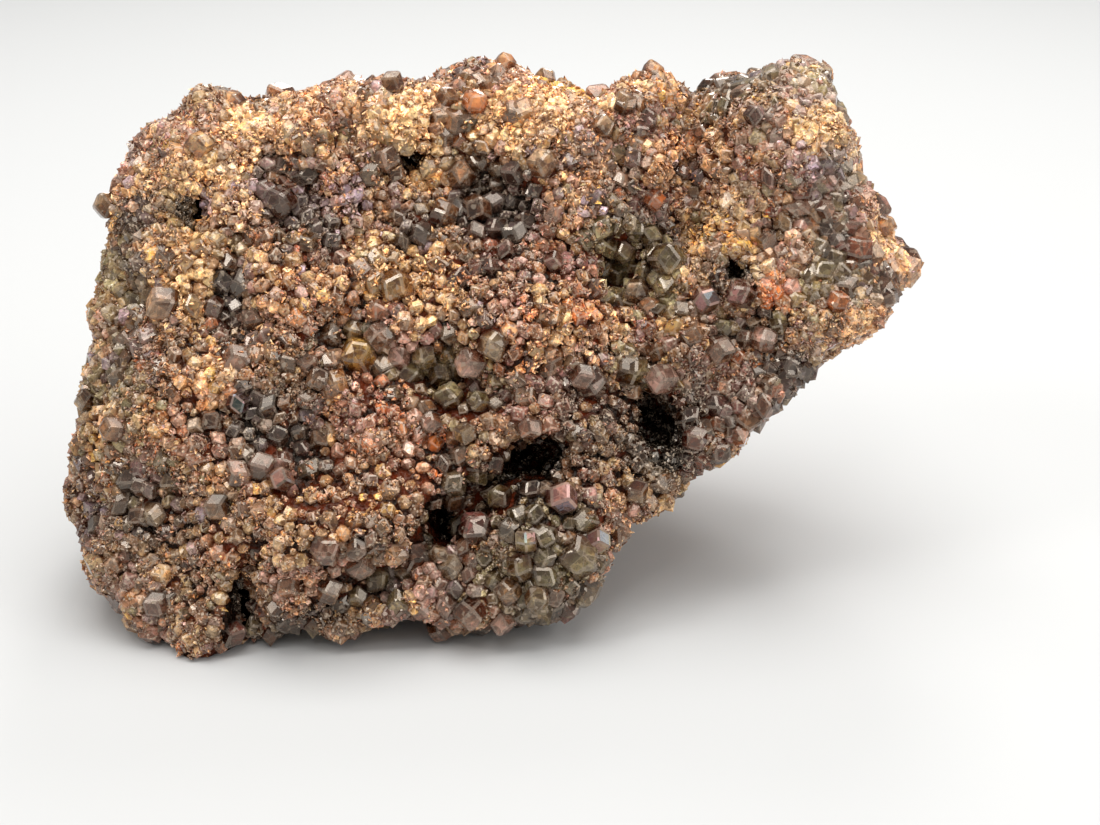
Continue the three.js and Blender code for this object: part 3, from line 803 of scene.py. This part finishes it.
# %% Which seats are open
row_counts = np.repeat([SEAT_GRID[(n + 1) % 3] for n in range(3)], 2)
column_counts = np.repeat([SEAT_GRID[(n + 2) % 3] for n in range(3)], 2)
first_seat = np.concatenate([[0], np.cumsum(row_counts * column_counts)[:-1]])
WIDE_OPEN, CLOSE = 9.0, 0.54
GAP_REACH, LOT_REACH = 2.2, 1.8  # how far crystals and lots count, in radii times CLOSE
gap = [np.full(shape, WIDE_OPEN) for shape in zip(row_counts, column_counts)]


def disc(reach):
    """Steps down and right to all squares within reach millimetres, each with its distance."""
    widest = int(reach / SQUARE)
    steps = [(down, right) for down in range(-widest, widest + 1) for right in range(-widest, widest + 1)]
    return [(*step, SQUARE * math.hypot(*step)) for step in steps if SQUARE * math.hypot(*step) <= reach]


def moved(grid, down, right):
    """A grid moved by whole squares, with zeros coming in at its edges."""
    wide = np.pad(grid, ((abs(down),) * 2, (abs(right),) * 2))
    top, left = abs(down) - down, abs(right) - right
    return wide[top:top + grid.shape[0], left:left + grid.shape[1]]


def close_in(side, radii):
    """Bring the gap of the squares near new crystals down. The gap is the way to the nearest crystal,
    less the share of its radius within which others may grow into it."""
    for down, right, apart in disc(GAP_REACH * CLOSE * radii.max()):
        near = moved(radii, down, right)
        gap[side] = np.minimum(gap[side], np.where(near > 0, apart - CLOSE * near, WIDE_OPEN))


def close_in_on(places, radii):
    """The same for crystals that don't sit on a seat: each takes the seat nearest to it."""
    nearest = np.array([np.argmin(((seats - place) ** 2).sum(axis=1)) for place in places])
    for side in range(6):
        grid = np.zeros(gap[side].size)
        here = sides[nearest, 0] == side
        grid[nearest[here] - first_seat[side]] = radii[here]
        close_in(side, grid.reshape(gap[side].shape))


close_in_on(largest_places, largest_radii)

# %% From broad to fine
SIZES = [  # name, smallest and largest radius, share where bare and where sheltered, shape seen and not
    ("broad", (1.2, 1.7), (0.14, 0.62), (SMOOTH_GARNET, PLAIN_GARNET)),
    ("large", (0.92, 1.25), (0.45, 0.95), (SMOOTH_GARNET, PLAIN_GARNET)),
    ("middling", (0.7, 0.95), (0.75, 1.0), (GARNET_OF_KITES, PLAIN_GARNET)),
    ("small", (0.5, 0.7), (0.9, 1.0), (PLAIN_GARNET, PLAIN_GARNET)),
    ("fine", (0.36, 0.5), (1.0, 1.0), (PLAIN_GARNET, PLAIN_GARNET)),
]
ROUNDS, SUNK = 5, 0.15
FEW_LARGE = 1.5  # a lot to this power comes out small more often than large
CLUSTER_SPACING, CLUSTER_NOISE, CLUSTER_LOT = 2.6, 0.7, 0.3
PITTED, PIT_CRYSTAL = 0.15, 0.75  # how deep a pit has begun, and the largest radius from there on
seat_pit = pit_depth(seats[:, 0], seats @ UP_VIEW) * (sides[:, 0] == FRONT_SIDE)
grown = []


def winners(side, sizes, shares, luck):
    """Draw lots on one side of the block until its open seats are nearly used up."""
    shape = gap[side].shape
    here = first_seat[side] + np.arange(gap[side].size)
    size = sizes[0] + (sizes[1] - sizes[0]) * luck.random(shape) ** FEW_LARGE
    wanted = shares[0] + (shares[1] - shares[0]) * seat_shelter[here]
    cluster = 0.5 + CLUSTER_NOISE * lattice_noise(seats[here] / CLUSTER_SPACING + sizes[0] * 31)
    cluster = cluster + CLUSTER_LOT * (luck.random(len(here)) - 0.5)
    room = np.where(seat_pit[here] > PITTED, PIT_CRYSTAL, WIDE_OPEN)
    welcome = (cluster < wanted).reshape(shape) & (size <= room.reshape(shape))
    for _ in range(ROUNDS):
        still_open = welcome & (gap[side] >= CLOSE * size)
        lot = luck.random(shape) * still_open
        highest = lot.copy()
        for down, right, _ in disc(LOT_REACH * CLOSE * sizes[1]):
            highest = np.maximum(highest, moved(lot, down, right))
        won = still_open & (lot >= highest)
        if won.any():
            close_in(side, np.where(won, size, 0))
        yield here[won.ravel()], size[won]


def packed(name, sizes, shares, shapes, seed):
    """One size of the packing, in two pieces: what is on the front and top, and the rest."""
    luck = np.random.default_rng(seed)
    drawn = [pair for side in range(6) for pair in winners(side, sizes, shares, luck)]
    picked = np.concatenate([seat for seat, _ in drawn])
    radius = np.concatenate([size for _, size in drawn])
    where = seats[picked] - seat_facing[picked] * (SUNK * radius)[:, None]
    tints = crystal_tints(seats[picked], seat_on_front[picked], seat_shelter[picked], luck)
    turns = turned(len(picked), luck)
    grown.append((picked, where, radius))
    in_sight = np.isin(sides[picked, 0], (FRONT_SIDE, TOP_SIDE))
    outward = seat_facing[picked]
    parts = (("front_and_top", in_sight, shapes[0]), ("back_and_ends", ~in_sight, shapes[1]))
    return [
        grow(
            f"{name}_crystals_{at}", shape, where[m], outward[m], radius[m], tints[m], turns[m], luck,
            uneven=0.2)
        for at, m, shape in parts
    ]


packing = {row[0]: packed(*row, seed=21 + n) for n, row in enumerate(SIZES)}

# %% [markdown]
# ## Sugar
# On the real stone all that stands proud is crusted with grains of about half a millimetre, grown on
# the crystals' faces. A bumpy texture would look like leather, because grains have flat faces that
# flash. So each grain is a small octahedron, set half into a crystal that is on a bare crest.

# %% Grains
SUGARED = [  # name, sides of the block, grains on a crystal of a millimetre's radius
    ("sugar_front", (FRONT_SIDE,), 10.0), ("sugar_top", (TOP_SIDE,), 5.0),
    ("sugar_ends", (LEFT_SIDE, RIGHT_SIDE), 3.0), ("sugar_back", (BACK_SIDE,), 3.0),
    ("sugar_underside", (UNDERSIDE,), 1.5),
]
SMALLEST_GRAIN, GRAIN_SPREAD = 0.2, 0.16
GRAIN_SEAT = 0.72  # how far from the middle of its crystal a grain sits, in radii
CREST_FADE = (-0.5, 0.4)  # lowness turned over, where sugar begins and where there is most


def sugar(name, on_sides, crowded, seed):
    """Grains on the crystals of some sides of the block. How many a crystal gets goes with its size
    and with how bare its place is, and each sits at a point by lot of the crystal's outer half."""
    luck = np.random.default_rng(seed)
    host, centre, size = (np.concatenate(kind) for kind in zip(*grown))
    bare = (1 - seat_shelter[host]) * smooth_step(-lowness(seats[host]), *CREST_FADE)
    number = luck.poisson(crowded * size ** 2 * bare) * np.isin(sides[host, 0], on_sides)
    host, centre, size = (np.repeat(kind, number, axis=0) for kind in (host, centre, size))
    way = luck.normal(size=(len(host), 3))
    way = way / np.linalg.norm(way, axis=1, keepdims=True) + seat_facing[host]
    way /= np.linalg.norm(way, axis=1, keepdims=True)
    where = centre + way * (GRAIN_SEAT * size)[:, None]
    radius = SMALLEST_GRAIN + GRAIN_SPREAD * luck.random(len(host)) ** FEW_LARGE
    tints = crystal_tints(where, seat_on_front[host], 0 * size, luck)
    turns = turned(len(host), luck)
    return grow(name, splinter(), where, way, radius, tints, turns, luck, uneven=0.3)


sugar_pieces = [sugar(*row, seed=31 + n) for n, row in enumerate(SUGARED)]

# %% [markdown]
# ## One finish, several strengths
# Real garnet is clear, and its colour comes from how far light goes in it before it comes out again.
# Following every ray through thousands of touching crystals would be slow and grainy, so only the
# larger crystals let light through, the largest more than half of it. The rest is sent back at the
# surface, in a colour worked out by a node group that all crystals share: the crystal's tint, made
# lighter or darker by its lot, with painted shade that makes it darker and warmer at its root than at
# its tip, redder where it is dark and paler where it is light, with cloudy flaws in it, a painted red
# glow in some gaps, and painted highlights on its cut edges, along its cracks and on a few glinting
# chips. A second group tilts the surface in small flat flecks, for the growth steps that are too fine
# to model. The gloss stays in each material, where it differs. The few crystals that shine green or
# violet have a thin film on them, as real ones have thin layers that play the same trick, and two
# thicknesses give the two colours.


# %% Node helpers
def new_node(tree, kind, settings, links):
    """A node of a kind, with some properties or inputs set and some inputs linked."""
    node = tree.nodes.new(kind)
    for key, value in settings.items():
        if isinstance(key, int) or key in node.inputs:
            node.inputs[key].default_value = value
        else:
            setattr(node, key, value)
    for key, source in links.items():
        tree.links.new(source, node.inputs[key])
    return node


def new_group(name, inputs, output, kind):
    """An empty node group with number or colour inputs and one output."""
    group = bpy.data.node_groups.new(name, "ShaderNodeTree")
    for key, value in inputs.items():
        colour = isinstance(value, tuple)
        socket = group.interface.new_socket(
            key, in_out="INPUT", socket_type="NodeSocketColor" if colour else "NodeSocketFloat")
        socket.default_value = value
    group.interface.new_socket(output, in_out="OUTPUT", socket_type=kind)
    return group, group.nodes.new("NodeGroupInput").outputs, group.nodes.new("NodeGroupOutput").inputs


# %% The colour group
ROOT_SHADE_TINT = (1.0, 0.60, 0.38, 1)  # painted shade: times the colour at the roots of the crystals, a warm shade between them
DEEP = (1.0, 0.50, 0.22, 1)  # times the colour where it is dark, in dark crystals and in the painted shade at their roots, as where light has gone a long way through garnet
PALE = (0.96, 1.06, 1.20, 1)  # times the colour where it came back after a short way
WARM = (1.2, 0.86, 0.52, 1)  # times the colour in warm clouds
MAUVE = (0.76, 0.66, 0.72, 1)  # times the colour in cold clouds
EMBER = (0.14, 0.024, 0.007, 1)  # a painted red glow where light would soak through between the crystals
# painted highlight on the cut edges
CUT_EDGE_HIGHLIGHT = (0.66, 0.53, 0.42, 1)
# painted highlight lines along the cracks
CRACK_HIGHLIGHT = (0.85, 0.67, 0.49, 1)
# painted glints on a few chips
GLINT = (0.88, 0.70, 0.52, 1)
CRACK_WIDTH = 0.06  # as a share of a flaw
CHIPS_PER_FLAW = 2.7  # along a line
BY_LIGHTNESS, BY_FACET = (0.74, 1.44), (0.55, 1.60)  # times the light, from the lowest lot to the highest
BY_FLAW, BY_CHIP = (0.0, 2.2), (0.05, 2.1)
BY_RISE, ROOT_SHADE = (0.02, 1.95), (0.35, 1.0)  # painted shade: times the light, from root to tip, darkest at the roots between the crystals
DEEP_BELOW, PALE_BETWEEN = 1.0, (0.9, 2.3)  # of the light
# how warm the painted root shade gets, where the painted red glow lies, and how far the painted edge
# highlight shows
MOST_ROOT_SHADE_TINT, EMBER_RISE, CUT_HIGHLIGHT_SHOWS = 0.9, (0.15, 0.80), (0.1, 0.5)
LINE_BY_RISE, GLINT_BY_RISE = (0.0, 1.3), (0.0, 0.8)
EMBERS = (330.0, 0.50, 0.64, 0.9)  # noise cells a metre, noise where they begin, where most, how much
WARM_CLOUDS = (900.0, 0.52, 0.66, 1.1)
COLD_CLOUDS = (1300.0, 0.46, 0.36, 1.2)


def colour_group():
    """Tint times lightness times rise times facet times flaw times chip: a crystal is lighter or darker
    than the next by lot, darker and warmer at its root as painted shade, and its facets, the flaws in it
    and the smaller chips each send back more or less of the light inside. What is dark is also a deeper
    red, and what is light paler, in places the gaps have a painted red glow, and warm and cold clouds lie
    over all. Cut edges get a painted highlight, cracks between the flaws get painted highlight lines, and
    a few chips get painted glints."""
    inputs = {
        "Tint": (0.2, 0.15, 0.1, 1), "Lightness": 0.5, "Rise": 0.5, "Facet": 0.5, "Cut": 0.0, "Flaws": 0.5,
        "Cells": 2500.0, "Glints": 0.1,
    }
    group, given, out = new_group("garnet colour", inputs, "Color", "NodeSocketColor")
    coords = group.nodes.new("ShaderNodeTexCoord").outputs["Object"]

    def three_lots(cells_a_metre):
        cells = new_node(group, "ShaderNodeTexVoronoi", {}, {"Vector": coords, "Scale": cells_a_metre})
        return new_node(group, "ShaderNodeSeparateColor", {}, {0: cells.outputs["Color"]}).outputs

    by_flaw = three_lots(given["Cells"])
    finer = {"operation": "MULTIPLY", 1: CHIPS_PER_FLAW}
    by_chip = three_lots(new_node(group, "ShaderNodeMath", finer, {0: given["Cells"]}).outputs[0])

    def spread(value, low, high, start=0.0, end=1.0):
        limits = {"From Min": start, "From Max": end, "To Min": low, "To Max": high}
        return new_node(group, "ShaderNodeMapRange", limits, {"Value": value}).outputs[0]

    def times(a, b):
        return new_node(group, "ShaderNodeMath", {"operation": "MULTIPLY"}, {0: a, 1: b}).outputs[0]

    def mixed(share, a, b, kind="MIX"):
        settings, links = {"data_type": "RGBA", "blend_type": kind}, {6: a}
        for socket, value in ((0, share), (7, b)):
            (settings if isinstance(value, (float, tuple)) else links)[socket] = value
        return new_node(group, "ShaderNodeMix", settings, links).outputs[2]

    def noise_share(scale, low, high, most):
        noise = new_node(group, "ShaderNodeTexNoise", {"Scale": scale, "Detail": 3.0}, {"Vector": coords})
        limits = {"From Min": low, "From Max": high, "To Max": most}
        return new_node(group, "ShaderNodeMapRange", limits, {"Value": noise.outputs["Fac"]}).outputs[0]

    # Painted shade: the light falls towards each crystal's root.
    light = times(spread(given["Lightness"], *BY_LIGHTNESS), spread(given["Rise"], *BY_RISE))
    light = times(light, spread(given["Rise"], *ROOT_SHADE))
    light = times(light, spread(given["Facet"], *BY_FACET))
    for lots, limits in ((by_flaw, BY_FLAW), (by_chip, BY_CHIP)):
        links = {0: given["Flaws"], 3: spread(lots[0], *limits)}
        light = times(light, new_node(group, "ShaderNodeMix", {2: 1.0}, links).outputs[0])
    colour = mixed(1.0, given["Tint"], light, "MULTIPLY")
    colour = mixed(spread(light, 1.0, 0.0, 0.0, DEEP_BELOW), colour, DEEP, "MULTIPLY")
    colour = mixed(spread(light, 0.0, 1.0, *PALE_BETWEEN), colour, PALE, "MULTIPLY")
    # Painted shade: warmer towards the root.
    colour = mixed(spread(given["Rise"], MOST_ROOT_SHADE_TINT, 0.0), colour, ROOT_SHADE_TINT, "MULTIPLY")
    low_down = spread(given["Rise"], 1.0, 0.0, *EMBER_RISE)
    # A painted red glow low between the crystals.
    colour = mixed(times(noise_share(*EMBERS), low_down), colour, EMBER)
    for clouds, shade in ((WARM_CLOUDS, WARM), (COLD_CLOUDS, MAUVE)):
        colour = mixed(times(noise_share(*clouds), given["Flaws"]), colour, shade, "MULTIPLY")
    # A painted highlight on the cut edges.
    colour = mixed(times(given["Cut"], spread(given["Facet"], *CUT_HIGHLIGHT_SHOWS)), colour, CUT_EDGE_HIGHLIGHT)
    # Painted highlight lines along the cracks between the flaws.
    to_edge = {"Vector": coords, "Scale": given["Cells"]}
    crack = new_node(group, "ShaderNodeTexVoronoi", {"feature": "DISTANCE_TO_EDGE"}, to_edge)
    line = spread(crack.outputs["Distance"], 1.0, 0.0, 0.0, CRACK_WIDTH)
    lit_line = times(times(line, by_flaw[2]), given["Flaws"])
    lit_line = times(lit_line, spread(given["Rise"], *LINE_BY_RISE))
    colour = mixed(lit_line, colour, CRACK_HIGHLIGHT)
    # Painted glints on a few chips.
    few = {0: by_chip[1], 1: given["Glints"]}
    glinting = new_node(group, "ShaderNodeMath", {"operation": "LESS_THAN"}, few)
    glint = times(glinting.outputs[0], spread(given["Rise"], *GLINT_BY_RISE))
    group.links.new(mixed(glint, colour, GLINT), out["Color"])
    return group


def fleck_group():
    """The surface's own normal, tilted by a random amount that stays the same within each small
    cell."""
    inputs = {"Cells": 2500.0, "Tilt": 0.3}
    group, given, out = new_group("flat flecks", inputs, "Normal", "NodeSocketVector")
    coords = group.nodes.new("ShaderNodeTexCoord").outputs["Object"]
    cells = new_node(group, "ShaderNodeTexVoronoi", {}, {"Vector": coords, "Scale": given["Cells"]})

    def vector(operation, links, settings=None):
        settings = {"operation": operation} | (settings or {})
        return new_node(group, "ShaderNodeVectorMath", settings, links).outputs[0]

    centred = vector("SUBTRACT", {0: cells.outputs["Color"]}, {1: (0.5, 0.5, 0.5)})
    tilt = vector("SCALE", {0: centred, "Scale": given["Tilt"]})
    normal = group.nodes.new("ShaderNodeNewGeometry").outputs["Normal"]
    tilted = vector("ADD", {0: normal, 1: tilt})
    group.links.new(vector("NORMALIZE", {0: tilted}), out["Normal"])
    return group


garnet_colour = colour_group()
flat_flecks = fleck_group()


# %% The materials
FINISHES = {  # roughness, flaws, flaws a metre, tilt of flecks, painted glints, gloss, clear, film in nanometres
    "clear garnet": (0.05, 0.50, 1000, 0.10, 0.04, 0.55, 0.6, 0),
    "green flash garnet": (0.05, 0.30, 1300, 0.06, 0.00, 0.50, 0.4, 305),
    "violet flash garnet": (0.05, 0.30, 1300, 0.06, 0.00, 0.50, 0.4, 390),
    "glassy garnet": (0.06, 0.45, 2000, 0.18, 0.08, 0.35, 0.3, 0),
    "satin garnet": (0.10, 0.65, 3200, 0.35, 0.12, 0.25, 0.0, 0),
    "sugary garnet": (0.10, 0.70, 4200, 0.60, 0.20, 0.25, 0.0, 0),
    "garnet crust": (0.20, 0.80, 3800, 0.90, 0.04, 0.08, 0.0, 0),
}
GARNET_IOR, FILM_IOR = 1.8, 2.0
REFLECTION_TINT = (1.0, 0.88, 0.75, 1)
CRUST_RISE = 0.06  # painted shade: the crust is shaded as dark as the roots of the crystals


def garnet_material(name):
    """A material for crystals or crust: the shared groups with its own values, and its own gloss."""
    roughness, flaws, cells, tilt, glints, gloss, clear, film = FINISHES[name]
    material = bpy.data.materials.new(name)
    material.use_nodes = True
    tree = material.node_tree
    shader = tree.nodes["Principled BSDF"]
    colour = new_node(tree, "ShaderNodeGroup", {"node_tree": garnet_colour}, {})
    colour.inputs["Flaws"].default_value = flaws
    colour.inputs["Cells"].default_value = cells
    colour.inputs["Glints"].default_value = glints
    tint = new_node(tree, "ShaderNodeAttribute", {"attribute_name": "tint"}, {})
    tree.links.new(tint.outputs["Color"], colour.inputs["Tint"])
    if name == "garnet crust":
        colour.inputs["Rise"].default_value = CRUST_RISE
    else:
        for key in ("lightness", "rise", "facet", "cut"):
            reader = new_node(tree, "ShaderNodeAttribute", {"attribute_name": key}, {})
            tree.links.new(reader.outputs["Fac"], colour.inputs[key.capitalize()])
    flecks = new_node(tree, "ShaderNodeGroup", {"node_tree": flat_flecks}, {})
    flecks.inputs["Cells"].default_value = cells
    flecks.inputs["Tilt"].default_value = tilt
    tree.links.new(colour.outputs["Color"], shader.inputs["Base Color"])
    tree.links.new(flecks.outputs["Normal"], shader.inputs["Normal"])
    shader.inputs["Roughness"].default_value = roughness
    shader.inputs["IOR"].default_value = GARNET_IOR
    shader.inputs["Specular IOR Level"].default_value = gloss
    shader.inputs["Transmission Weight"].default_value = clear
    shader.inputs["Specular Tint"].default_value = REFLECTION_TINT
    shader.inputs["Thin Film Thickness"].default_value = film
    shader.inputs["Thin Film IOR"].default_value = FILM_IOR
    return material


made = {name: garnet_material(name) for name in FINISHES}
for finish in ("green flash garnet", "violet flash garnet"):
    iridescent.data.materials.append(made[finish])
facet_lots = np.empty(len(iridescent.data.polygons), np.float32)
iridescent.data.attributes["facet"].data.foreach_get("value", facet_lots)
iridescent.data.polygons.foreach_set("material_index", (facet_lots > 0.5).astype(np.int32))
dressed = {
    "clear garnet": [largest, *packing["broad"]],
    "glassy garnet": [*packing["large"], *packing["middling"]],
    "satin garnet": [*packing["small"], *packing["fine"]],
    "sugary garnet": sugar_pieces,
    "garnet crust": [rock],
}
for finish, pieces in dressed.items():
    for piece in pieces:
        piece.data.materials.append(made[finish])
print("materials:", ", ".join(made))

# %% [markdown]
# ## Measure and finish

# %% Sizes
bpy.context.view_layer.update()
meshes = [o.data for o in bpy.data.objects if o.type == "MESH" and o.name != "floor"]
print("triangles in all:", sum(len(m.loops) - 2 * len(m.polygons) for m in meshes))
